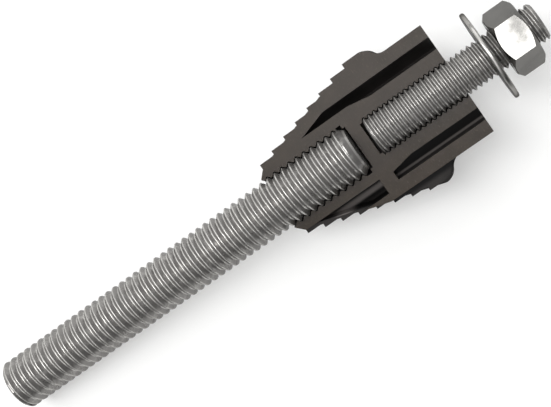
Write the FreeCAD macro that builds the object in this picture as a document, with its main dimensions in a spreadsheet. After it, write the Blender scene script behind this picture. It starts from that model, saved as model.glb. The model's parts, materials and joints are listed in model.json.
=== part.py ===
# Stand-off anchor for insulated walls, as a cut sample: the near half of the plastic cone is
# milled away along the axis, and the threaded rod, the threaded stud, the washer and the hex
# nut are whole.
#
# Millimetres. Every piece is modelled along the X axis, with x = 0 at the cone's end face, the
# rod towards -X, the stud towards +X, and the cut face looking up, along +Z. The whole then
# leans about Y, so that it lies on the rod's far end and on the cone's last fin.
import FreeCAD
import Part
import Sketcher
import os

DRIVING_DIMENSIONS = {
    # cone: its outline
    "cone_length": 62.0,
    "collar_radius": 18.0,
    "nose_length": 2.4,
    "nose_radius": 8.4,
    "hub_radius": 10.85,
    "taper_length": 24.8,
    # cone: the stepped cutting fins, and the smooth lobe along the rear edge of each
    "fin_count": 3,
    "fin_angle": 110.0,
    "fin_start": 2.1,
    "step_length": 5.1,
    "first_step_radius": 12.0,
    "step_height": 1.4,
    "last_step_length": 5.2,
    "fin_tail_length": 6.9,
    "lobe_height": 1.05,
    "lobe_angle": 36.0,
    "lobe_inset": 3.0,
    "lobe_tail_length": 8.0,
    # cone: the rod's bore, the stud's bore, and the drilled ends that leave the web between
    "rod_bore_depth": 28.4,
    "stud_bore_depth": 29.7,
    "thread_clearance": 0.15,
    "drill_end": 0.9,
    "rod_drill_radius": 6.95,
    "stud_drill_radius": 5.1,
    # cone: the wide cavities under the fins
    "cavity_radius": 14.0,
    "wide_cavity_angle": 76.0,
    "wide_cavity_tip": 45.6,
    "wide_cavity_shoulder": 36.5,
    "core_radius": 11.3,
    "core_end_radius": 10.0,
    "core_taper_start": 29.8,
    "core_taper_end": 22.6,
    # cone: the narrow cavities, and the front pockets that open through a slot between fins
    "narrow_cavity_angle": 34.0,
    "narrow_cavity_depth": 29.6,
    "pocket_angle": 41.0,
    "pocket_radius": 15.75,
    "pocket_wall": 0.9,
    "bulkhead": 4.5,
    # rod
    "rod_radius": 8.0,
    "rod_reach": 158.0,
    "rod_end_gap": 0.7,
    "rod_thread_depth": 1.3,
    # stud
    "stud_radius": 6.0,
    "stud_reach": 27.6,
    "stud_end_gap": 1.3,
    "stud_thread_depth": 0.97,
    # washer and nut
    "fixture_gap": 10.1,
    "washer_thickness": 1.4,
    "washer_radius": 14.0,
    "washer_hole_radius": 6.5,
    "washer_edge": 0.3,
    "nut_gap": 2.85,
    "nut_height": 9.2,
    "nut_across_flats": 18.0,
    "nut_clearance": 0.05,
    "nut_chamfer_angle": 40.0,
    "nut_chamfer_radius": 8.8,
    "nut_mouth": 0.8,
}

STEP_COUNT = 8

# the threads stand as rings, one to each turn, with this many flat facets round each; the
# crest keeps an eighth of the pitch flat, as on such threads
ROD_TURNS = 48
STUD_TURNS = 32
FACETS = 12
CREST_SHARE = 0.125

# how far a cutter reaches past the face that it comes in through
PAST = 1

# places along the axis and radii that follow from the driving dimensions
TAPER_START = "(Size.nose_length - Size.cone_length)"
TAPER_END = "(Size.nose_length + Size.taper_length - Size.cone_length)"
TAPER_SLOPE = "((Size.collar_radius - Size.hub_radius) / Size.taper_length)"
ROD_START = "(-Size.rod_reach)"
ROD_END = "(Size.rod_bore_depth - Size.cone_length - Size.rod_end_gap)"
STUD_START = "(Size.stud_end_gap - Size.stud_bore_depth)"
STUD_END = "Size.stud_reach"
LAST_RISER = f"(Size.fin_start + {STEP_COUNT - 1} * Size.step_length - Size.cone_length)"
FIN_RADIUS = f"(Size.first_step_radius + {STEP_COUNT - 1} * Size.step_height)"
CREST = f"({LAST_RISER} + Size.last_step_length)"

doc = FreeCAD.newDocument("anchor")


def driving_sheet():
    """The spreadsheet that holds each driving dimension under its own name."""
    sheet = doc.addObject("Spreadsheet::Sheet", "Size")
    for row, (name, value) in enumerate(DRIVING_DIMENSIONS.items(), start=1):
        sheet.set(f"A{row}", name)
        sheet.set(f"B{row}", str(value))
        sheet.setAlias(f"B{row}", name)
    doc.recompute()
    return sheet


size = driving_sheet()


def value_of(formula):
    """The number that a formula over the sheet's names has now."""
    return float(size.evalExpression(formula.replace("Size.", "")))


def origin_feature(body, role):
    """The plane or axis of a body's own origin that has this role."""
    return next(f for f in body.Origin.OriginFeatures if f.Role == role)


def new_body(name):
    """An empty body that lies as the whole anchor comes to rest."""
    body = doc.addObject("PartDesign::Body", name)
    body.Label = name
    body.Placement = FreeCAD.Placement(
        FreeCAD.Vector(), FreeCAD.Rotation(FreeCAD.Vector(0, -1, 0), 1)
    )
    first_crest = f"({ROD_END} - {ROD_START}) / {2 * ROD_TURNS}"
    run = f"(Size.rod_reach - {first_crest} + {LAST_RISER})"
    body.setExpression(
        "Placement.Rotation.Angle", f"atan(({FIN_RADIUS} - Size.rod_radius) / {run})"
    )
    return body


def arc_between(start, end, radius, bulge):
    """The shorter arc from start to end that bulges to the left (+1) or right (-1) of its way."""
    chord = end - start
    across = FreeCAD.Vector(-chord.y, chord.x, 0).normalize()
    sagitta = radius - (radius**2 - chord.Length**2 / 4) ** 0.5
    middle = (start + end) / 2 + across * sagitta * bulge
    return Part.Arc(start, middle, end)


def closed_outline(body, name, corners, plane="XY_Plane"):
    """A sketch through corners, each a pair of formulas over the sheet.

    A straight line leaves each corner, or an arc where a radius formula and a bulge follow.
    """
    sketch = body.newObject("Sketcher::SketchObject", name)
    sketch.AttachmentSupport = [(origin_feature(body, plane), "")]
    sketch.MapMode = "FlatFace"
    places = [FreeCAD.Vector(value_of(u), value_of(v), 0) for u, v, *_ in corners]
    ways = []
    for i, (_, _, *arc) in enumerate(corners):
        end = places[(i + 1) % len(places)]
        if arc:
            curve = arc_between(places[i], end, value_of(arc[0]), arc[1])
        else:
            curve = Part.LineSegment(places[i], end)
        sketch.addGeometry(curve, False)
        # an arc runs anticlockwise in a sketch, so one that was drawn clockwise starts at its end
        turned_round = sketch.getPoint(i, 1).distanceToPoint(places[i]) > 1e-6
        ways.append((2, 1) if turned_round else (1, 2))
    for i in range(len(places)):
        after = (i + 1) % len(places)
        link = ("Coincident", i, ways[i][1], after, ways[after][0])
        sketch.addConstraint(Sketcher.Constraint(*link))
    for i, ((u, v, *arc), place) in enumerate(zip(corners, places)):
        for kind, formula, value in (("DistanceX", u, place.x), ("DistanceY", v, place.y)):
            number = sketch.addConstraint(Sketcher.Constraint(kind, i, ways[i][0], value))
            sketch.setExpression(f"Constraints[{number}]", formula)
        if arc:
            number = sketch.addConstraint(Sketcher.Constraint("Radius", i, value_of(arc[0])))
            sketch.setExpression(f"Constraints[{number}]", arc[0])
    return sketch


def turned(body, kind, name, sketch, angle="360"):
    """A Revolution or Groove of the sketch about the anchor's axis, even on both sides of it."""
    feature = body.newObject(f"PartDesign::{kind}", name)
    feature.Profile = sketch
    feature.ReferenceAxis = (sketch, ["H_Axis"])
    feature.Midplane = True
    feature.setExpression("Angle", angle)
    sketch.Visibility = False
    return feature


def spread_round(body, name, feature):
    """The feature repeated once for each fin, evenly round the anchor's axis."""
    pattern = body.newObject("PartDesign::PolarPattern", name)
    pattern.Originals = [feature]
    pattern.Axis = (origin_feature(body, "X_Axis"), [""])
    pattern.Angle = 360
    pattern.setExpression("Occurrences", "Size.fin_count")
    body.Tip = pattern
    return pattern


def tail(crest_radius, length):
    """The two arcs of an S from a crest down to the collar, level at both ends."""
    drop = f"({crest_radius} - Size.collar_radius)"
    radius = f"({length}^2 + {drop}^2) / (4 * {drop})"
    return [
        (CREST, crest_radius, radius, 1),
        (f"{CREST} + {length} / 2", f"{crest_radius} - {drop} / 2", radius, -1),
        (f"{CREST} + {length}", "Size.collar_radius"),
        (f"{CREST} + {length}", "Size.core_radius"),
    ]


def make_cone():
    """The moulded cone: outline, fins, lobes, bores, cavities, pockets, and the cut through it."""
    body = new_body("insulating_cone")
    outline = closed_outline(body, "cone_outline", [
        ("-Size.cone_length", "0"),
        ("-Size.cone_length", "Size.nose_radius"),
        (TAPER_START, "Size.hub_radius"),
        (TAPER_END, "Size.collar_radius"),
        ("0", "Size.collar_radius"),
        ("0", "0"),
    ])
    turned(body, "Revolution", "cone_solid", outline)
    add_fins(body)
    add_lobes(body)
    cut_bores(body)
    cut_cavities(body)
    cut_pockets(body)
    cut_open(body)
    return body


def add_fins(body):
    """Three sectors whose outline climbs the cone in steps that cut the render and insulation."""
    corners = [("Size.fin_start - Size.cone_length", "Size.nose_radius")]
    for step in range(STEP_COUNT):
        riser = f"Size.fin_start + {step} * Size.step_length - Size.cone_length"
        radius = f"Size.first_step_radius + {step} * Size.step_height"
        corners.append((riser, radius))
        if step < STEP_COUNT - 1:
            corners.append((f"{riser} + Size.step_length", radius))
    outline = closed_outline(body, "fin_outline", corners + tail(FIN_RADIUS, "Size.fin_tail_length"))
    fin = turned(body, "Revolution", "fin", outline, "Size.fin_angle")
    spread_round(body, "fins", fin)


def add_lobes(body):
    """A smooth sector near the rear edge of each fin, where the taper runs on past the collar."""
    crest = f"({FIN_RADIUS} + Size.lobe_height)"
    outline = closed_outline(body, "lobe_outline", [
        (TAPER_END, "Size.core_radius"),
        (TAPER_END, "Size.collar_radius"),
        *tail(crest, "Size.lobe_tail_length"),
    ])
    lean = "Size.fin_angle / 2 - Size.lobe_angle / 2 - Size.lobe_inset"
    outline.AttachmentOffset = FreeCAD.Placement(
        FreeCAD.Vector(), FreeCAD.Rotation(FreeCAD.Vector(-1, 0, 0), 1)
    )
    outline.setExpression("AttachmentOffset.Rotation.Angle", lean)
    lobe = turned(body, "Revolution", "lobe", outline, "Size.lobe_angle")
    spread_round(body, "lobes", lobe)


def cut_bores(body):
    """The two bores, cut to their thread's outer diameter, each with a narrower drilled end."""
    floor = "(Size.rod_bore_depth - Size.cone_length)"
    bore = "Size.rod_radius + Size.thread_clearance"
    outline = closed_outline(body, "rod_bore_outline", [
        (f"-Size.cone_length - {PAST}", "0"),
        (floor, "0"),
        (floor, "Size.rod_drill_radius"),
        (f"{floor} - Size.drill_end", "Size.rod_drill_radius"),
        (f"{floor} - Size.drill_end", bore),
        (f"-Size.cone_length - {PAST}", bore),
    ])
    turned(body, "Groove", "rod_bore", outline)
    bore = "Size.stud_radius + Size.thread_clearance"
    outline = closed_outline(body, "stud_bore_outline", [
        ("-Size.stud_bore_depth", "0"),
        (f"{PAST}", "0"),
        (f"{PAST}", bore),
        ("Size.drill_end - Size.stud_bore_depth", bore),
        ("Size.drill_end - Size.stud_bore_depth", "Size.stud_drill_radius"),
        ("-Size.stud_bore_depth", "Size.stud_drill_radius"),
    ])
    turned(body, "Groove", "stud_bore", outline)


def cut_cavities(body):
    """Wide cavities under the fins and narrow ones between them, open at the end face."""
    outline = closed_outline(body, "wide_cavity_outline", [
        ("-Size.wide_cavity_tip", "Size.core_radius"),
        ("-Size.core_taper_start", "Size.core_radius"),
        ("-Size.core_taper_end", "Size.core_end_radius"),
        (f"{PAST}", "Size.core_end_radius"),
        (f"{PAST}", "Size.cavity_radius"),
        ("-Size.wide_cavity_shoulder", "Size.cavity_radius"),
    ])
    wide = turned(body, "Groove", "wide_cavity", outline, "Size.wide_cavity_angle")
    spread_round(body, "wide_cavities", wide)
    outline = closed_outline(body, "narrow_cavity_outline", [
        ("-Size.narrow_cavity_depth", "-Size.core_radius"),
        ("-Size.core_taper_end", "-Size.core_end_radius"),
        (f"{PAST}", "-Size.core_end_radius"),
        (f"{PAST}", "-Size.cavity_radius"),
        ("-Size.narrow_cavity_depth", "-Size.cavity_radius"),
    ])
    narrow = turned(body, "Groove", "narrow_cavity", outline, "Size.narrow_cavity_angle")
    spread_round(body, "narrow_cavities", narrow)


def cut_pockets(body):
    """A pocket round the hub between each two fins, under a thin wall, and the slot into it."""
    floor = "(-Size.narrow_cavity_depth - Size.bulkhead)"
    rise = f"((Size.pocket_radius - Size.hub_radius) / {TAPER_SLOPE})"
    start = f"({TAPER_START} + Size.pocket_wall / {TAPER_SLOPE})"
    outline = closed_outline(body, "pocket_outline", [
        (start, "-Size.hub_radius"),
        (floor, "-Size.hub_radius"),
        (floor, "-Size.pocket_radius"),
        (f"{start} + {rise}", "-Size.pocket_radius"),
    ])
    pocket = turned(body, "Groove", "pocket", outline, "Size.pocket_angle")
    spread_round(body, "pockets", pocket)
    outline = closed_outline(body, "slot_outline", [
        ("-Size.cone_length", "-Size.hub_radius"),
        (floor, "-Size.hub_radius"),
        (floor, "-Size.pocket_radius"),
        ("-Size.cone_length", "-Size.pocket_radius"),
    ])
    slot = turned(body, "Groove", "slot", outline, "360 / Size.fin_count - Size.fin_angle")
    spread_round(body, "slots", slot)


def cut_open(body):
    """Mill the near half away, down to the axis, with a cutter block wider than the fins."""
    reach = f"(Size.first_step_radius + {STEP_COUNT} * Size.step_height)"
    outline = closed_outline(body, "cut_outline", [
        (f"-Size.cone_length - {PAST}", f"-{reach}"),
        (f"{PAST}", f"-{reach}"),
        (f"{PAST}", reach),
        (f"-Size.cone_length - {PAST}", reach),
    ])
    cut = body.newObject("PartDesign::Pocket", "cut_face")
    cut.Profile = outline
    cut.Reversed = True
    cut.setExpression("Length", reach)
    outline.Visibility = False


def make_threaded(name, start, end, radius, depth, turns):
    """A threaded bar: a row of equal rings, each a many-sided slice cut back to its two roots."""
    body = new_body(name)
    pitch = f"(({end} - {start}) / {turns})"
    corners = [
        (f"{radius} * cos({turn})", f"{radius} * sin({turn})")
        for turn in (360 / FACETS * (facet + 0.5) for facet in range(FACETS))
    ]
    sketch = closed_outline(body, f"{name}_rim", corners, "YZ_Plane")
    sketch.setExpression("AttachmentOffset.Base.z", start)
    sketch.Visibility = False
    blank = body.newObject("PartDesign::Pad", f"{name}_blank")
    blank.Profile = sketch
    blank.setExpression("Length", pitch)
    doc.recompute()
    ring = body.newObject("PartDesign::Chamfer", f"{name}_ring")
    ends = [
        f"Edge{number}"
        for number, edge in enumerate(blank.Shape.Edges, start=1)
        if edge.BoundBox.XLength < 1e-6
    ]
    ring.Base = (blank, ends)
    ring.ChamferType = "Two distances"
    ring.setExpression("Size", f"{pitch} * (1 - {CREST_SHARE}) / 2")
    ring.setExpression("Size2", f"{depth} * cos(180 / {FACETS})")
    doc.recompute()
    row = body.newObject("PartDesign::LinearPattern", f"{name}_rings")
    row.TransformMode = "Whole shape"
    row.Direction = (origin_feature(body, "X_Axis"), [""])
    row.Occurrences = turns
    row.setExpression("Length", f"({turns} - 1) * {pitch}")
    body.Tip = row
    return body


def make_washer():
    """A flat washer with its outer edges broken."""
    body = new_body("washer")
    near = "Size.fixture_gap"
    far = "(Size.fixture_gap + Size.washer_thickness)"
    outline = closed_outline(body, "washer_outline", [
        (near, "Size.washer_hole_radius"),
        (near, "Size.washer_radius"),
        (far, "Size.washer_radius"),
        (far, "Size.washer_hole_radius"),
    ])
    ring = turned(body, "Revolution", "washer_ring", outline)
    doc.recompute()
    broken = body.newObject("PartDesign::Chamfer", "washer_edges")
    rim = value_of("washer_radius")
    edges = [
        f"Edge{number}"
        for number, edge in enumerate(ring.Shape.Edges, start=1)
        if edge.Closed and abs(edge.Curve.Radius - rim) < 1e-6
    ]
    broken.Base = (ring, edges)
    broken.setExpression("Size", "Size.washer_edge")
    return body


def make_nut():
    """A hex nut with a flat towards +Z, corners taken off at both faces, and a chamfered bore."""
    body = new_body("hex_nut")
    near = "(Size.fixture_gap + Size.washer_thickness + Size.nut_gap)"
    far = f"({near} + Size.nut_height)"
    half = "Size.nut_across_flats / 2"
    corner = "Size.nut_across_flats / 2 / cos(30)"
    hexagon = closed_outline(body, "nut_hexagon", [
        (corner, "0"),
        (f"{corner} / 2", half),
        (f"-{corner} / 2", half),
        (f"-{corner}", "0"),
        (f"-{corner} / 2", f"-{half}"),
        (f"{corner} / 2", f"-{half}"),
    ], "YZ_Plane")
    hexagon.setExpression("AttachmentOffset.Base.z", near)
    prism = body.newObject("PartDesign::Pad", "nut_prism")
    prism.Profile = hexagon
    prism.setExpression("Length", "Size.nut_height")
    hexagon.Visibility = False
    beyond = "Size.nut_across_flats"
    for name, face, inward in (("near", near, "+"), ("far", far, "-")):
        depth = f"(({beyond} - Size.nut_chamfer_radius) * tan(Size.nut_chamfer_angle))"
        outline = closed_outline(body, f"{name}_corner_outline", [
            (face, "Size.nut_chamfer_radius"),
            (f"{face} {inward} {depth}", beyond),
            (face, beyond),
        ])
        turned(body, "Groove", f"{name}_corners", outline)
    bore = "Size.stud_radius + Size.nut_clearance"
    outline = closed_outline(body, "nut_bore_outline", [
        (near, "0"),
        (near, f"{bore} + Size.nut_mouth"),
        (f"{near} + Size.nut_mouth", bore),
        (f"{far} - Size.nut_mouth", bore),
        (far, f"{bore} + Size.nut_mouth"),
        (far, "0"),
    ])
    turned(body, "Groove", "nut_bore", outline)
    return body


def write_checked(bodies):
    """Stop if a feature failed or a shape is broken, else write one STEP file for each body."""
    doc.recompute()
    for item in doc.Objects:
        if "Invalid" in item.State or "Error" in item.State:
            raise RuntimeError(f"{item.Name} failed: {item.State}")
    for body in bodies:
        shape = body.Shape
        if shape.isNull() or not shape.isValid() or len(shape.Solids) != 1:
            raise RuntimeError(f"{body.Label} is not one valid solid")
    os.makedirs("parts", exist_ok=True)
    for body in bodies:
        body.Shape.exportStep(f"parts/{body.Label}.step")
        box = body.Shape.BoundBox
        print(
            f"{body.Label}: {body.Shape.Volume:.1f} mm3,"
            f" x {box.XMin:.2f} to {box.XMax:.2f},"
            f" y {box.YMin:.2f} to {box.YMax:.2f}, z {box.ZMin:.2f} to {box.ZMax:.2f}"
        )


rod = make_threaded(
    "threaded_rod", ROD_START, ROD_END, "Size.rod_radius", "Size.rod_thread_depth", ROD_TURNS
)
stud = make_threaded(
    "threaded_stud", STUD_START, STUD_END, "Size.stud_radius", "Size.stud_thread_depth", STUD_TURNS
)
write_checked([rod, make_cone(), stud, make_washer(), make_nut()])
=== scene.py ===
"""Looks of the stand-off anchor: real threads, worn steel and milled plastic."""

import json
import math
from collections import namedtuple

import bmesh
import bpy
from mathutils import Matrix, Vector


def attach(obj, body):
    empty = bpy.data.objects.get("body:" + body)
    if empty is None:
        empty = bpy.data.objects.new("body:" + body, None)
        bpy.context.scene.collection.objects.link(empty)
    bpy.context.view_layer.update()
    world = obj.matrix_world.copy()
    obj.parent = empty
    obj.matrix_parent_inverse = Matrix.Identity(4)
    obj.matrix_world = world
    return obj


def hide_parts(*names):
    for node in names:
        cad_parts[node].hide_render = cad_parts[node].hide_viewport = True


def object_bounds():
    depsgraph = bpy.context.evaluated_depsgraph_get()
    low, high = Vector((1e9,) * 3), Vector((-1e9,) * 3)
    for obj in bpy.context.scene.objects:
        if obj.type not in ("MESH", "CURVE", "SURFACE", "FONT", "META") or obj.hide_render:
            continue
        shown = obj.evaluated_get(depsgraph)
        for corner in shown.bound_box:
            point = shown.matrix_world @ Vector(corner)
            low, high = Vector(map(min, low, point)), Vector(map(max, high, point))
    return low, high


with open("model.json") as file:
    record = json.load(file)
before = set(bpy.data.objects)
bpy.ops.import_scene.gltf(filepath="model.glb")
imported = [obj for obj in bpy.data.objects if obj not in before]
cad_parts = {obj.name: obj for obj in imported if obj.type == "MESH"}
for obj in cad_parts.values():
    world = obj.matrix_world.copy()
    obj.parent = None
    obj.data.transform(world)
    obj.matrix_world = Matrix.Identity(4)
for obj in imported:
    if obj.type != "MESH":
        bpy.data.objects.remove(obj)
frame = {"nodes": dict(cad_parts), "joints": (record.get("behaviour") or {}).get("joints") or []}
cad_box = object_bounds()

bl_info = {
    "name": "Stand-off Anchor",
    "version": (1, 0, 0),
    "blender": (4, 5, 0),
    "location": "View3D > Sidebar > Anchor",
    "description": "Builds the threads, finishes and studio of a cut stand-off anchor",
    "category": "Add Mesh",
}

MM = 0.001

# the anchor leans: its own axis, and the way that the cut face looks
AXIS = Vector(frame["joints"][0]["axis"]).normalized()
LEFT = Vector((0.0, 1.0, 0.0))
CUT_NORMAL = AXIS.cross(LEFT)
LEAN = Matrix((AXIS, LEFT, CUT_NORMAL)).transposed().to_4x4()
LEAN_ANGLE = math.atan2(AXIS.z, AXIS.x)

# the two bars: their ends along the anchor's axis from the cone's end face, the outer radius,
# a crest's place on the anchor's left, and the steps of one turn
ROD_START, ROD_END = -157.85 * MM, -34.3 * MM
ROD_RADIUS, ROD_CREST, ROD_STEPS = 7.8 * MM, -42.45 * MM, 56
STUD_START, STUD_END = -28.4 * MM, 27.5 * MM
STUD_RADIUS, STUD_CREST, STUD_STEPS = 5.93 * MM, 5.3 * MM, 48

# length and height of the chamfer at each bar's start and end
ROD_CHAMFERS = ((0.7 * MM, 0.6 * MM), (2.0 * MM, 1.5 * MM))
STUD_CHAMFERS = ((0.5 * MM, 0.5 * MM), (0.8 * MM, 0.75 * MM))

# the cone's two bores: their ends along the axis, the radius that the wall of their thread
# reaches in the plastic, and the radius of the rod bore's mouth
ROD_BORE_MOUTH, ROD_BORE_RELIEF = -62.0 * MM, -36.1 * MM
ROD_BORE_WALL, ROD_MOUTH_RADIUS = 8.36 * MM, 8.1 * MM
STUD_BORE_FLOOR, STUD_BORE_MOUTH = -28.8 * MM, 0.0
STUD_BORE_WALL = 6.4 * MM

# the nut's two faces along the axis, how far its thread stays inside them, and its radii
NUT_NEAR, NUT_FAR, NUT_INSET = 14.35 * MM, 23.55 * MM, 0.6 * MM
NUT_WALL, NUT_MOUTH_RADIUS, NUT_PLAY = 6.4 * MM, 6.85 * MM, 0.1 * MM

# how wide the sharp edges of the plain solids are rounded
CONE_ROUNDING, WASHER_ROUNDING, NUT_ROUNDING = 0.14 * MM, 0.12 * MM, 0.16 * MM

# faces that bend less than the first are one face, edges that bend more than the second are
# rounded, and edges that bend more than the third are shaded sharp
FLAT_ANGLE, ROUNDED_ANGLE, SHARP_ANGLE = (math.radians(angle) for angle in (0.6, 25.0, 32.0))

# the threads of the bores end this far below the cut face
BELOW_CUT = 0.01 * MM

# places closer than this are one, on a helix and on a solid
HELIX_MERGE, SOLID_MERGE = 0.001 * MM, 0.002 * MM

# one thread, as shares of the pitch along the axis and of the depth above the root
THREAD_FORM = (
    (0.000, 0.000),
    (0.030, 0.008),
    (0.060, 0.031),
    (0.085, 0.067),
    (0.105, 0.112),
    (0.250, 0.500),
    (0.395, 0.888),
    (0.415, 0.933),
    (0.440, 0.969),
    (0.470, 0.992),
    (0.500, 1.000),
    (0.530, 0.992),
    (0.560, 0.969),
    (0.585, 0.933),
    (0.605, 0.888),
    (0.750, 0.500),
    (0.895, 0.112),
    (0.915, 0.067),
    (0.940, 0.031),
    (0.970, 0.008),
    (1.000, 0.000),
)

# an inner thread is this much shallower than the outer one
INNER_SHARE = 0.86

# radii of root and crest between which a steel piece is grimy, and a pair that leaves it clean
ROD_FLANKS = (6.67 * MM, 7.8 * MM)
STUD_FLANKS = (5.0 * MM, 5.92 * MM)
NO_FLANKS = (0.0, 1.0 * MM)

# the steel's patterns: scale and detail of grimy patches and smudges, the marks' scale in each
# direction, and the values between which each pattern goes from none to all
PATCHES, PATCH_RAMP = (420.0, 4.0), (0.15, 0.5)
SMUDGES, SMUDGE_RAMP = (160.0, 5.0), (0.35, 0.7)
MARK_SCALES, MARK_DETAIL = (9000.0, 500.0, 500.0), 2.0
FLANK_RAMP = (0.97, 0.8)

# what a smudge does to the steel, and the distance and strength of its bump
SMUDGED_SHARE, SMUDGED_ROUGHNESS = 0.86, 0.14
STEEL_BUMP = (0.02 * MM, 0.5)

# the plastic: its gloss, the roughness of skin and milled face, and the heights between which
# the skin turns into the milled face
PLASTIC_GLOSS, SKIN_ROUGHNESS, MILLED_ROUGHNESS = 0.13, 0.5, 0.23
CUT_HEIGHTS = (-0.06 * MM, -0.02 * MM)

# the plastic's patterns, given as the steel's are: clouds, glass fibres and the cutter's passes
CLOUDS, MILLED_RAMP, SKIN_RAMP = (130.0, 6.0), (0.3, 0.7), (0.35, 0.7)
FIBRE_SCALES, FIBRE_DETAIL, FIBRE_RAMP = (2600.0, 900.0, 2600.0), 3.0, (0.56, 0.75)
PASSES = {"Scale": 900.0, "Distortion": 3.0, "Detail": 2.0}

# how dark or light each pattern makes the plastic, the share of the passes in the relief, and
# the distance and strength of its bump
MILLED_DARK, MILLED_LIGHT, FIBRE_LIGHT = 0.88, 1.12, 1.5
# the second and third numbers on this line are the painted shade and the painted highlight of the
# skin in the hollows
SKIN_LIGHT, SKIN_PAINTED_SHADE, SKIN_PAINTED_HIGHLIGHT = 1.35, 0.08, 6.0
PASS_SHARE = 0.25
PLASTIC_BUMP = (0.03 * MM, 0.6)

# where painted shade darkens the skin in the hollows that the cut opens on the anchor's right and
# at the fin's foot beside them: each pair is the place where it begins and the place where it is
# full, across, down, along or round the axis, and the pocket's outer wall is a slope along the
# axis
HOLLOW_SIDE = (-9.0 * MM, -9.5 * MM)
HOLLOW_HEIGHTS = (-6.0 * MM, -5.0 * MM)
CAVITY_REACH = (-30.3 * MM, -30.0 * MM)
POCKET_REACH = (-30.3 * MM, -30.6 * MM)
POCKET_FADE = (-53.0 * MM, -48.0 * MM)
POCKET_WALL_SLOPE, POCKET_WALL_RADIUS = 0.2883, 27.13 * MM
POCKET_WALL_FADE = (0.4 * MM, 0.2 * MM)
FIN_FOOT_INNER = (18.03 * MM, 18.06 * MM)
FIN_FOOT_OUTER = (20.4 * MM, 18.9 * MM)

# the painted highlight, a pale line along a hollow's floor: the skin's outer radius, the line's
# radius, its half width and its strength
CAVITY_HIGHLIGHT = (14.1 * MM, 13.5 * MM, 0.62 * MM, 0.62)
POCKET_HIGHLIGHT = (15.85 * MM, 13.15 * MM, 1.35 * MM, 1.0)
# the skin ends over this width, and the painted highlight is full over this share of its half
# width
SKIN_EDGE, HIGHLIGHT_CORE = 0.05 * MM, 0.2

# the camera, fitted in the anchor's own axes, with its focal length in pixels of the frame
FRAME_WIDTH, FOCAL_PIXELS, SENSOR_WIDTH = 551.0, 1163.23, 36.0
CAMERA_SHIFT, CLIP_START = (-0.1171, -0.0064), 0.01
CAMERA_RIGHT = Vector((0.81234116, -0.57400324, -0.10306367))
CAMERA_DOWN = Vector((-0.5648252, -0.81837868, 0.10596613))
CAMERA_AHEAD = Vector((-0.14517001, -0.02786769, -0.98901419))
CAMERA_PLACE = Vector((1.40584721, -0.02560161, 327.67342)) * MM

# each lamp's place and size in metres, and the point on the anchor that all are aimed at
LAMPS = {
    "window": ((0.15, 0.9, 0.6), (0.9, 0.9)),
    "overhead": ((-0.43, 0.36, 1.03), (0.5, 0.9)),
    "fill": ((-0.43, -0.6, 0.95), (0.5, 0.95)),
    "glint": ((-0.045, 0.0, 1.1), (0.2, 0.2)),
}
LAMP_AIM = Vector((-0.05, 0.0, 0.0))

# the sky's two ends on the anchor's right and left, and the share of its strength at each
SKY_RIGHT, SKY_LEFT = -0.6, 0.8
SKY_SHARES = (0.1, 2.2)

# the floor: half its width in metres, its roughness and the colour of its glow
FLOOR_HALF, FLOOR_ROUGHNESS = 6.0, 0.9
FLOOR_GLOW_COLOUR = (1.0, 1.0, 0.99, 1.0)

# a crest's place on the left, the crest's radius, the depth, the pitch and the steps of one turn
Thread = namedtuple("Thread", "crest_at radius depth pitch steps")


class ThreadSizes(bpy.types.PropertyGroup):
    """Sizes of the two threads."""

    rod_pitch: bpy.props.FloatProperty(
        name="Rod pitch", description="From crest to crest on the rod", default=2.55 * MM,
        unit="LENGTH",
    )
    rod_depth: bpy.props.FloatProperty(
        name="Rod depth", description="From crest to root on the rod", default=1.13 * MM,
        unit="LENGTH",
    )
    stud_pitch: bpy.props.FloatProperty(
        name="Stud pitch", description="From crest to crest on the stud", default=1.75 * MM,
        unit="LENGTH",
    )
    stud_depth: bpy.props.FloatProperty(
        name="Stud depth", description="From crest to root on the stud", default=0.92 * MM,
        unit="LENGTH",
    )
    play: bpy.props.FloatProperty(
        name="Play", description="Gap between a bore's thread and its bar", default=0.4 * MM,
        unit="LENGTH",
    )


class Finishes(bpy.types.PropertyGroup):
    """Colours of the plastic and the steel."""

    moulded: bpy.props.FloatVectorProperty(
        name="Moulded skin", description="The plastic where it left the mould", subtype="COLOR",
        default=(0.021, 0.019, 0.018), min=0.0, max=1.0,
    )
    milled: bpy.props.FloatVectorProperty(
        name="Milled face", description="The plastic where the cutter opened it", subtype="COLOR",
        default=(0.034, 0.0262, 0.0198), min=0.0, max=1.0,
    )
    steel: bpy.props.FloatVectorProperty(
        name="Steel", description="Clean zinc-plated steel", subtype="COLOR",
        default=(0.5, 0.49, 0.47), min=0.0, max=1.0,
    )
    grime: bpy.props.FloatVectorProperty(
        name="Grime", description="Oil and dust on the flanks of the threads", subtype="COLOR",
        default=(0.25, 0.242, 0.234), min=0.0, max=1.0,
    )


class Studio(bpy.types.PropertyGroup):
    """The floor and the light."""

    floor: bpy.props.FloatVectorProperty(
        name="Floor", description="Colour of the floor", subtype="COLOR",
        default=(0.74, 0.74, 0.735), min=0.0, max=1.0,
    )
    glow: bpy.props.FloatProperty(
        name="Glow", description="How much camera and metal see the floor lit up", default=0.26,
    )
    sky: bpy.props.FloatProperty(
        name="Sky", description="Strength of the light from all round", default=0.22,
    )
    window: bpy.props.FloatProperty(
        name="Window", description="Power of the large soft lamp on the anchor's left",
        default=4.5, unit="POWER",
    )
    overhead: bpy.props.FloatProperty(
        name="Overhead", description="Power of the soft lamp above", default=9.6,
        unit="POWER",
    )
    fill: bpy.props.FloatProperty(
        name="Fill", description="Power of the faint soft lamp on the anchor's right",
        default=3.4, unit="POWER",
    )
    glint: bpy.props.FloatProperty(
        name="Glint", description="Power of the small lamp that the nut's top mirrors",
        default=1.2, unit="POWER",
    )


def new_material(name):
    """A material, the tree to add nodes to, and its shader."""
    material = bpy.data.materials.new(name)
    material.use_nodes = True
    return material, material.node_tree, material.node_tree.nodes["Principled BSDF"]


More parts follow.
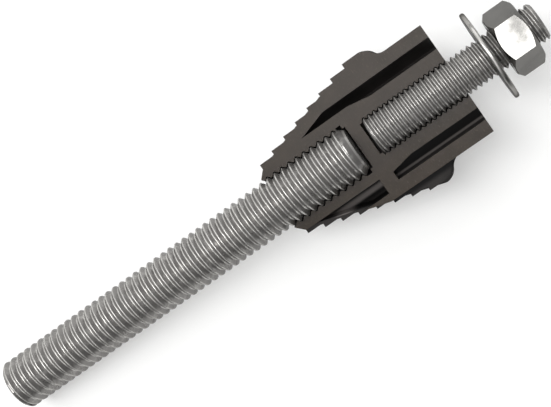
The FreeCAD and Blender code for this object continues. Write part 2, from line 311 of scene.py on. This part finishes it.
def add(tree, kind, inputs=None, **settings):
    """A node of this kind, with its settings, and its inputs set or linked by name or number."""
    node = tree.nodes.new(kind)
    for key, value in settings.items():
        setattr(node, key, value)
    for key, value in (inputs or {}).items():
        if isinstance(value, bpy.types.NodeSocket):
            tree.links.new(value, node.inputs[key])
        else:
            node.inputs[key].default_value = value
    return node


def ramp(tree, value, low, high):
    """The value spread smoothly from 0 at low to 1 at high."""
    return add(
        tree, "ShaderNodeMapRange", {0: value, 1: low, 2: high}, interpolation_type="SMOOTHSTEP"
    ).outputs[0]


def spread(tree, value, first, last):
    """A number from first to last, as the value runs from 0 to 1."""
    return add(tree, "ShaderNodeMapRange", {0: value, 3: first, 4: last}).outputs[0]


def blend(tree, mask, first, second):
    """A colour between two, by a mask."""
    node = add(tree, "ShaderNodeMix", {0: mask}, data_type="RGBA")
    for socket, colour in ((node.inputs[6], first), (node.inputs[7], second)):
        if isinstance(colour, bpy.types.NodeSocket):
            tree.links.new(colour, socket)
        else:
            socket.default_value = (*colour, 1.0)
    return node.outputs[2]


def scaled(numbers, share):
    """Each of the numbers times the share."""
    return [share * number for number in numbers]


def math_node(tree, operation, first, second=0.0):
    """One step of arithmetic."""
    return add(tree, "ShaderNodeMath", {0: first, 1: second}, operation=operation).outputs[0]


def product(tree, first, *others):
    """All of these multiplied."""
    for other in others:
        first = math_node(tree, "MULTIPLY", first, other)
    return first


def noise(tree, place, scale, detail):
    """A soft random pattern, from 0 to 1."""
    return add(
        tree, "ShaderNodeTexNoise", {0: place, "Scale": scale, "Detail": detail}
    ).outputs[0]


def streaks(tree, place, scales, detail):
    """A random pattern with a scale of its own for each direction."""
    stretched = add(tree, "ShaderNodeMapping", {0: place, 3: scales}).outputs[0]
    return noise(tree, stretched, 1.0, detail)


def along_anchor(tree):
    """Object coordinates turned so that X runs along the anchor's own axis."""
    place = add(tree, "ShaderNodeTexCoord").outputs["Object"]
    return add(
        tree, "ShaderNodeMapping", {0: place, 2: (0.0, LEAN_ANGLE, 0.0)}, vector_type="POINT"
    ).outputs[0]


def axis_distance(tree, parts):
    """How far a place is from the anchor's axis."""
    across = add(tree, "ShaderNodeCombineXYZ", {1: parts.outputs[1], 2: parts.outputs[2]})
    return add(
        tree, "ShaderNodeVectorMath", {0: across.outputs[0]}, operation="LENGTH"
    ).outputs["Value"]


def finish_surface(tree, shader, colour, rough, relief, distance, strength):
    """Links what varies over the surface to its shader, with the relief as a bump."""
    bump = add(
        tree, "ShaderNodeBump", {"Height": relief, "Distance": distance, "Strength": strength}
    )
    tree.links.new(colour, shader.inputs["Base Color"])
    tree.links.new(rough, shader.inputs["Roughness"])
    tree.links.new(bump.outputs[0], shader.inputs["Normal"])


def steel_wear_group():
    """Smudges, drawing marks and grime on the flanks, in one group that all the steel shares."""
    made = bpy.data.node_groups.get("steel wear")
    if made:
        return made
    tree = bpy.data.node_groups.new("steel wear", "ShaderNodeTree")
    for socket, default in {"Root radius": 0.0, "Crest radius": 1.0, "Marks": 1.0}.items():
        entry = tree.interface.new_socket(socket, in_out="INPUT", socket_type="NodeSocketFloat")
        entry.default_value = default
    for socket in ("Grime", "Smudge", "Marks"):
        tree.interface.new_socket(socket, in_out="OUTPUT", socket_type="NodeSocketFloat")
    start, end = add(tree, "NodeGroupInput"), add(tree, "NodeGroupOutput")

    place = along_anchor(tree)
    parts = add(tree, "ShaderNodeSeparateXYZ", {0: place})
    height = add(
        tree, "ShaderNodeMapRange",
        {0: axis_distance(tree, parts), 1: start.outputs["Root radius"],
         2: start.outputs["Crest radius"], 3: -1.0, 4: 1.0},
    ).outputs[0]
    flank = ramp(tree, math_node(tree, "ABSOLUTE", height), *FLANK_RAMP)
    patches = ramp(tree, noise(tree, place, *PATCHES), *PATCH_RAMP)
    smudge = ramp(tree, noise(tree, place, *SMUDGES), *SMUDGE_RAMP)
    marks = streaks(tree, place, MARK_SCALES, MARK_DETAIL)
    tree.links.new(product(tree, flank, patches), end.inputs["Grime"])
    tree.links.new(smudge, end.inputs["Smudge"])
    tree.links.new(product(tree, marks, start.outputs["Marks"]), end.inputs["Marks"])
    return tree


def steel(name, flanks, roughness, marks, tone, metallic, edge):
    """Plated steel, dull on the flanks of its thread, with fine marks round the axis."""
    material, tree, shader = new_material(name)
    finish = bpy.context.scene.anchor_finishes
    worn = add(tree, "ShaderNodeGroup", node_tree=steel_wear_group())
    for socket, value in zip(worn.inputs, (*flanks, marks)):
        socket.default_value = value
    smudge = worn.outputs["Smudge"]
    colour = blend(
        tree, smudge, scaled(finish.steel, tone), scaled(finish.steel, SMUDGED_SHARE * tone)
    )
    colour = blend(tree, worn.outputs["Grime"], colour, finish.grime)
    rough = spread(tree, smudge, roughness, roughness + SMUDGED_ROUGHNESS)
    finish_surface(tree, shader, colour, rough, worn.outputs["Marks"], *STEEL_BUMP)
    shader.inputs["Metallic"].default_value = metallic
    shader.inputs["Specular Tint"].default_value = (edge, edge, edge, 1.0)
    return material


def hollow_painted_shade_and_highlight(tree, parts):
    """Where shade is painted into the skin in and beside a hollow, and a highlight painted along
    it.
    """
    ahead, left, height = parts.outputs
    radius = axis_distance(tree, parts)
    side = product(tree, ramp(tree, left, *HOLLOW_SIDE), ramp(tree, height, *HOLLOW_HEIGHTS))
    wall = add(
        tree, "ShaderNodeMath", {0: ahead, 1: POCKET_WALL_SLOPE, 2: POCKET_WALL_RADIUS},
        operation="MULTIPLY_ADD",
    ).outputs[0]
    past_wall = math_node(tree, "SUBTRACT", radius, wall)
    cavity = product(tree, side, ramp(tree, ahead, *CAVITY_REACH))
    pocket = product(
        tree, side, ramp(tree, ahead, *POCKET_REACH), ramp(tree, ahead, *POCKET_FADE),
        ramp(tree, past_wall, *POCKET_WALL_FADE),
    )
    # painted shade on the skin at the fin's foot
    painted_shade = product(
        tree, side, ramp(tree, radius, *FIN_FOOT_INNER), ramp(tree, radius, *FIN_FOOT_OUTER)
    )
    painted_highlight = 0.0
    # each hollow gets painted shade all through it and a painted highlight along one line
    for hollow, (outer, middle, half, share) in ((cavity, CAVITY_HIGHLIGHT), (pocket, POCKET_HIGHLIGHT)):
        inside = product(tree, hollow, ramp(tree, radius, outer + SKIN_EDGE, outer))
        away = math_node(tree, "ABSOLUTE", math_node(tree, "SUBTRACT", radius, middle))
        line = product(tree, inside, share, ramp(tree, away, half, HIGHLIGHT_CORE * half))
        painted_shade = math_node(tree, "ADD", painted_shade, inside)
        painted_highlight = math_node(tree, "ADD", painted_highlight, line)
    return painted_shade, painted_highlight


def plastic(name):
    """Glass-fibre plastic: dark skin where it was moulded, brown and fibrous where milled, with
    painted shade and a painted highlight in the hollows.
    """
    material, tree, shader = new_material(name)
    finish = bpy.context.scene.anchor_finishes
    place = along_anchor(tree)
    parts = add(tree, "ShaderNodeSeparateXYZ", {0: place})
    cut = ramp(tree, parts.outputs[2], *CUT_HEIGHTS)
    clouds = noise(tree, place, *CLOUDS)
    fibres = streaks(tree, place, FIBRE_SCALES, FIBRE_DETAIL)
    passes = add(tree, "ShaderNodeTexWave", {0: place, **PASSES}, bands_direction="X").outputs[1]

    milled = blend(
        tree, ramp(tree, clouds, *MILLED_RAMP),
        scaled(finish.milled, MILLED_DARK), scaled(finish.milled, MILLED_LIGHT),
    )
    milled = blend(
        tree, ramp(tree, fibres, *FIBRE_RAMP), milled, scaled(finish.milled, FIBRE_LIGHT)
    )
    skin = blend(
        tree, ramp(tree, clouds, *SKIN_RAMP), finish.moulded, scaled(finish.moulded, SKIN_LIGHT)
    )
    # painted shade darkens the skin in the hollows and at the fin's foot, and a painted highlight
    # lightens a line along each hollow
    painted_shade, painted_highlight = hollow_painted_shade_and_highlight(tree, parts)
    skin = blend(tree, painted_shade, skin, scaled(finish.moulded, SKIN_PAINTED_SHADE))
    skin = blend(tree, painted_highlight, skin, scaled(finish.moulded, SKIN_PAINTED_HIGHLIGHT))
    colour = blend(tree, cut, skin, milled)
    rough = spread(tree, cut, SKIN_ROUGHNESS, MILLED_ROUGHNESS)
    relief = math_node(tree, "ADD", fibres, product(tree, passes, cut, PASS_SHARE))
    finish_surface(tree, shader, colour, rough, relief, *PLASTIC_BUMP)
    shader.inputs["Specular IOR Level"].default_value = PLASTIC_GLOSS
    return material


def finish_piece(name, bm, material, body, node=None, rounded=False):
    """Leans the mesh with the anchor, makes it an object that rides on its body, and paints it."""
    bmesh.ops.transform(bm, matrix=LEAN, verts=bm.verts)
    for face in bm.faces:
        face.smooth = True
    for edge in bm.edges:
        edge.smooth = edge.calc_face_angle(math.pi) < SHARP_ANGLE
    mesh = bpy.data.meshes.new(name)
    bm.to_mesh(mesh)
    bm.free()
    piece = bpy.data.objects.new(name, mesh)
    bpy.context.scene.collection.objects.link(piece)
    mesh.materials.append(material)
    if rounded:
        piece.modifiers.new("flat faces stay flat", "WEIGHTED_NORMAL").keep_sharp = True
    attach(piece, body)
    if node:
        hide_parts(node)


def cut_off(bm, place, normal):
    """Cuts the mesh with a plane and drops what lies beyond it."""
    bmesh.ops.bisect_plane(
        bm, geom=bm.verts[:] + bm.edges[:] + bm.faces[:], plane_co=place, plane_no=normal,
        clear_outer=True,
    )


def close_ends(bm):
    """Fills each open loop with one face."""
    rim = [edge for edge in bm.edges if edge.is_boundary]
    bmesh.ops.holes_fill(bm, edges=rim, sides=0)


def set_radius(vert, radius):
    """Moves a vertex straight in or out to this distance from the axis."""
    share = radius / math.hypot(vert.co.y, vert.co.z)
    vert.co.y *= share
    vert.co.z *= share


def new_verts(result):
    """The vertices among what an operator made."""
    return [item for item in result["geom"] if isinstance(item, bmesh.types.BMVert)]


def helix(thread, start, end):
    """The threaded surface, cut square at start and end."""
    bm = bmesh.new()
    pitch, radius, depth = thread.pitch, thread.radius, thread.depth
    first = thread.crest_at + (math.floor((start - thread.crest_at) / pitch) - 1.5) * pitch
    form = [
        bm.verts.new((first + u * pitch, radius - depth * (1.0 - h), 0.0)) for u, h in THREAD_FORM
    ]
    line = [bm.edges.new(pair) for pair in zip(form, form[1:])]
    bmesh.ops.spin(
        bm, geom=form + line, cent=(0.0, 0.0, 0.0), axis=(1.0, 0.0, 0.0),
        dvec=(pitch / thread.steps, 0.0, 0.0), angle=math.tau, steps=thread.steps,
    )
    turns = 1
    while turns * pitch < end - first + pitch:
        copied = bmesh.ops.duplicate(bm, geom=bm.verts[:] + bm.edges[:] + bm.faces[:])
        bmesh.ops.translate(bm, vec=(turns * pitch, 0.0, 0.0), verts=new_verts(copied))
        turns *= 2
    bmesh.ops.remove_doubles(bm, verts=bm.verts, dist=HELIX_MERGE)
    bmesh.ops.reverse_faces(bm, faces=bm.faces)
    cut_off(bm, (start, 0.0, 0.0), (-1.0, 0.0, 0.0))
    cut_off(bm, (end, 0.0, 0.0), (1.0, 0.0, 0.0))
    return bm


def threaded_bar(thread, start, end, chamfers):
    """A threaded bar with flat ends and a smooth chamfer, as (length, height), at each."""
    bm = helix(thread, start, end)
    close_ends(bm)
    for (length, height), tip in zip(chamfers, (start, end)):
        for vert in bm.verts:
            beyond = length - abs(vert.co.x - tip)
            if beyond > 0.0:
                set_radius(vert, thread.radius - height * beyond / length)
    bmesh.ops.recalc_face_normals(bm, faces=bm.faces)
    return bm


def threaded_ring(thread, start, end, play, outer, opening=None):
    """A wall with an inner thread that fits round the bar of this thread, with some play."""
    inner = thread._replace(radius=thread.radius + play, depth=thread.depth * INNER_SHARE)
    bm = helix(inner, start, end)
    if opening:
        for vert in bm.verts:
            least = opening(vert.co.x)
            if math.hypot(vert.co.y, vert.co.z) < least:
                set_radius(vert, least)
    wall = bmesh.ops.extrude_face_region(bm, geom=bm.faces[:], use_keep_orig=True)
    for vert in new_verts(wall):
        set_radius(vert, outer)
    bmesh.ops.recalc_face_normals(bm, faces=bm.faces)
    return bm


def rounded_copy(node, width):
    """The CAD node's own shape, merged, with its sharp edges rounded."""
    bm = bmesh.new()
    bm.from_mesh(frame["nodes"][node].data)
    bmesh.ops.transform(bm, matrix=LEAN.inverted(), verts=bm.verts)
    bmesh.ops.remove_doubles(bm, verts=bm.verts, dist=SOLID_MERGE)
    bmesh.ops.dissolve_limit(
        bm, angle_limit=FLAT_ANGLE, verts=bm.verts, edges=bm.edges,
        use_dissolve_boundaries=False, delimit={"NORMAL"},
    )
    sharp = [edge for edge in bm.edges if edge.calc_face_angle(0.0) > ROUNDED_ANGLE]
    bmesh.ops.bevel(
        bm, geom=sharp, offset=width, offset_type="OFFSET", segments=2, profile=0.5,
        affect="EDGES", clamp_overlap=True, material=-1,
    )
    return bm


def rod_thread(sizes):
    """The coarse thread of the rod and its bore."""
    return Thread(ROD_CREST, ROD_RADIUS, sizes.rod_depth, sizes.rod_pitch, ROD_STEPS)


def stud_thread(sizes):
    """The finer thread of the stud, its bore and the nut."""
    return Thread(STUD_CREST, STUD_RADIUS, sizes.stud_depth, sizes.stud_pitch, STUD_STEPS)


def lay_floor(scene):
    """A wide pale floor that camera and metal see nearly white, with the shadow kept."""
    bm = bmesh.new()
    bmesh.ops.create_grid(bm, x_segments=1, y_segments=1, size=FLOOR_HALF)
    mesh = bpy.data.meshes.new("floor")
    bm.to_mesh(mesh)
    bm.free()
    mesh.transform(Matrix.Translation((0.0, 0.0, cad_box[0][2])))
    floor = bpy.data.objects.new("floor", mesh)
    scene.collection.objects.link(floor)
    material, tree, shader = new_material("floor")
    shader.inputs["Base Color"].default_value = (*scene.anchor_studio.floor, 1.0)
    shader.inputs["Roughness"].default_value = FLOOR_ROUGHNESS
    shader.inputs["Specular IOR Level"].default_value = 0.0
    rays = add(tree, "ShaderNodeLightPath").outputs
    seen = math_node(tree, "MAXIMUM", rays["Is Camera Ray"], rays["Is Glossy Ray"])
    glow = product(tree, seen, scene.anchor_studio.glow)
    shader.inputs["Emission Color"].default_value = FLOOR_GLOW_COLOUR
    tree.links.new(glow, shader.inputs["Emission Strength"])
    mesh.materials.append(material)


def light_studio(scene):
    """A sky that dims from the anchor's left to its right, and four soft lamps."""
    world = bpy.data.worlds.new("studio")
    scene.world = world
    world.use_nodes = True
    tree = world.node_tree
    sky = tree.nodes["Background"]
    sky.inputs["Color"].default_value = (1.0, 1.0, 1.0, 1.0)
    way = add(tree, "ShaderNodeTexCoord").outputs["Generated"]
    across = add(tree, "ShaderNodeSeparateXYZ", {0: way}).outputs["Y"]
    low, high = scaled(SKY_SHARES, scene.anchor_studio.sky)
    strength = add(
        tree, "ShaderNodeMapRange", {0: across, 1: SKY_RIGHT, 2: SKY_LEFT, 3: low, 4: high}
    )
    tree.links.new(strength.outputs[0], sky.inputs["Strength"])
    for name, (place, size) in LAMPS.items():
        lamp = bpy.data.lights.new(name, "AREA")
        lamp.shape = "RECTANGLE"
        lamp.size, lamp.size_y = size
        lamp.energy = getattr(scene.anchor_studio, name)
        holder = bpy.data.objects.new(name, lamp)
        holder.location = place
        aim = LAMP_AIM - Vector(place)
        holder.rotation_euler = aim.to_track_quat("-Z", "Y").to_euler()
        scene.collection.objects.link(holder)


def place_camera(scene):
    """The camera above the cut face, where the photograph was taken from."""
    lens = bpy.data.cameras.new("camera")
    lens.sensor_width = SENSOR_WIDTH
    lens.lens = FOCAL_PIXELS * SENSOR_WIDTH / FRAME_WIDTH
    lens.shift_x, lens.shift_y = CAMERA_SHIFT
    lens.clip_start = CLIP_START
    camera = bpy.data.objects.new("camera", lens)
    turn = Matrix((CAMERA_RIGHT, -CAMERA_DOWN, -CAMERA_AHEAD)).transposed().to_4x4()
    camera.matrix_world = LEAN @ Matrix.Translation(CAMERA_PLACE) @ turn
    scene.collection.objects.link(camera)
    scene.camera = camera


class AnchorStep:
    """What all the operators share."""

    bl_options = {"REGISTER", "UNDO"}


class ANCHOR_OT_rod(AnchorStep, bpy.types.Operator):
    """Build the coarse threaded rod that goes into the wall"""

    bl_idname = "anchor.rod"
    bl_label = "Threaded Rod"

    def execute(self, context):
        thread = rod_thread(context.scene.anchor_threads)
        bm = threaded_bar(thread, ROD_START, ROD_END, ROD_CHAMFERS)
        look = steel(
            "rod steel", ROD_FLANKS, roughness=0.2, marks=0.4, tone=1.0, metallic=0.6, edge=0.45
        )
        finish_piece("coarse_rod", bm, look, "anchor", "threaded_rod")
        return {"FINISHED"}


class ANCHOR_OT_stud(AnchorStep, bpy.types.Operator):
    """Build the finer stud that carries the washer and the nut"""

    bl_idname = "anchor.stud"
    bl_label = "Threaded Stud"

    def execute(self, context):
        thread = stud_thread(context.scene.anchor_threads)
        bm = threaded_bar(thread, STUD_START, STUD_END, STUD_CHAMFERS)
        look = steel(
            "stud steel", STUD_FLANKS, roughness=0.2, marks=0.4, tone=1.0, metallic=0.6, edge=0.45
        )
        finish_piece("fine_stud", bm, look, "anchor", "threaded_stud")
        return {"FINISHED"}


class ANCHOR_OT_cone(AnchorStep, bpy.types.Operator):
    """Build the cut plastic cone with the threads moulded in its two bores"""

    bl_idname = "anchor.cone"
    bl_label = "Insulating Cone"

    def execute(self, context):
        sizes = context.scene.anchor_threads
        look = plastic("glass-fibre plastic")
        bm = rounded_copy("insulating_cone", CONE_ROUNDING)
        finish_piece("cut_cone", bm, look, "anchor", "insulating_cone", True)
        rod_bore = threaded_ring(
            rod_thread(sizes), ROD_BORE_MOUTH, ROD_BORE_RELIEF, sizes.play, ROD_BORE_WALL,
            lambda x: ROD_MOUTH_RADIUS - (x - ROD_BORE_MOUTH),
        )
        stud_bore = threaded_ring(
            stud_thread(sizes), STUD_BORE_FLOOR, STUD_BORE_MOUTH, sizes.play, STUD_BORE_WALL
        )
        for name, ring in (("rod_bore_thread", rod_bore), ("stud_bore_thread", stud_bore)):
            cut_off(ring, (0.0, 0.0, -BELOW_CUT), (0.0, 0.0, 1.0))
            close_ends(ring)
            bmesh.ops.recalc_face_normals(ring, faces=ring.faces)
            finish_piece(name, ring, look, "anchor")
        return {"FINISHED"}


class ANCHOR_OT_washer(AnchorStep, bpy.types.Operator):
    """Build the thin flat washer"""

    bl_idname = "anchor.washer"
    bl_label = "Washer"

    def execute(self, context):
        look = steel(
            "washer steel", NO_FLANKS, roughness=0.25, marks=0.4, tone=0.8, metallic=1.0, edge=0.12
        )
        bm = rounded_copy("washer", WASHER_ROUNDING)
        finish_piece("flat_washer", bm, look, "loose_washer", "washer", True)
        return {"FINISHED"}


class ANCHOR_OT_nut(AnchorStep, bpy.types.Operator):
    """Build the hex nut and the thread inside it"""

    bl_idname = "anchor.nut"
    bl_label = "Hex Nut"

    def execute(self, context):
        thread = stud_thread(context.scene.anchor_threads)
        look = steel(
            "nut steel", NO_FLANKS, roughness=0.14, marks=0.15, tone=0.34, metallic=1.0, edge=0.7
        )
        bm = rounded_copy("hex_nut", NUT_ROUNDING)
        finish_piece("steel_nut", bm, look, "turning_nut", "hex_nut", True)
        ring = threaded_ring(
            thread, NUT_NEAR + NUT_INSET, NUT_FAR - NUT_INSET, NUT_PLAY, NUT_WALL,
            lambda x: NUT_MOUTH_RADIUS - min(x - NUT_NEAR, NUT_FAR - x),
        )
        close_ends(ring)
        finish_piece("nut_thread", ring, look, "turning_nut")
        return {"FINISHED"}


class ANCHOR_OT_studio(AnchorStep, bpy.types.Operator):
    """Set up the floor, the soft light and the camera"""

    bl_idname = "anchor.studio"
    bl_label = "Studio"

    def execute(self, context):
        context.scene.view_settings.view_transform = "Standard"
        lay_floor(context.scene)
        light_studio(context.scene)
        place_camera(context.scene)
        return {"FINISHED"}


class ANCHOR_PT_panel(bpy.types.Panel):
    """The anchor's panel in the sidebar"""

    bl_label = "Stand-off Anchor"
    bl_idname = "ANCHOR_PT_panel"
    bl_space_type = "VIEW_3D"
    bl_region_type = "UI"
    bl_category = "Anchor"

    def draw(self, context):
        for group in SETTINGS:
            settings = getattr(context.scene, group)
            box = self.layout.box()
            for name in settings.bl_rna.properties.keys():
                if name not in ("rna_type", "name"):
                    box.prop(settings, name)
        for operator in OPERATORS:
            self.layout.operator(operator.bl_idname)


OPERATORS = (
    ANCHOR_OT_rod, ANCHOR_OT_stud, ANCHOR_OT_cone, ANCHOR_OT_washer, ANCHOR_OT_nut,
    ANCHOR_OT_studio,
)
SETTINGS = {"anchor_threads": ThreadSizes, "anchor_finishes": Finishes, "anchor_studio": Studio}


def register():
    """Makes the settings, the operators and the panel known."""
    for name, settings in SETTINGS.items():
        bpy.utils.register_class(settings)
        setattr(bpy.types.Scene, name, bpy.props.PointerProperty(type=settings))
    for kind in (*OPERATORS, ANCHOR_PT_panel):
        bpy.utils.register_class(kind)


def unregister():
    """Takes them away again."""
    for kind in (ANCHOR_PT_panel, *reversed(OPERATORS)):
        bpy.utils.unregister_class(kind)
    for name, settings in SETTINGS.items():
        delattr(bpy.types.Scene, name)
        bpy.utils.unregister_class(settings)


def main():
    """Builds every piece and the stage."""
    register()
    bpy.ops.anchor.rod()
    bpy.ops.anchor.stud()
    bpy.ops.anchor.cone()
    bpy.ops.anchor.washer()
    bpy.ops.anchor.nut()
    bpy.ops.anchor.studio()


if __name__ == "__main__":
    main()
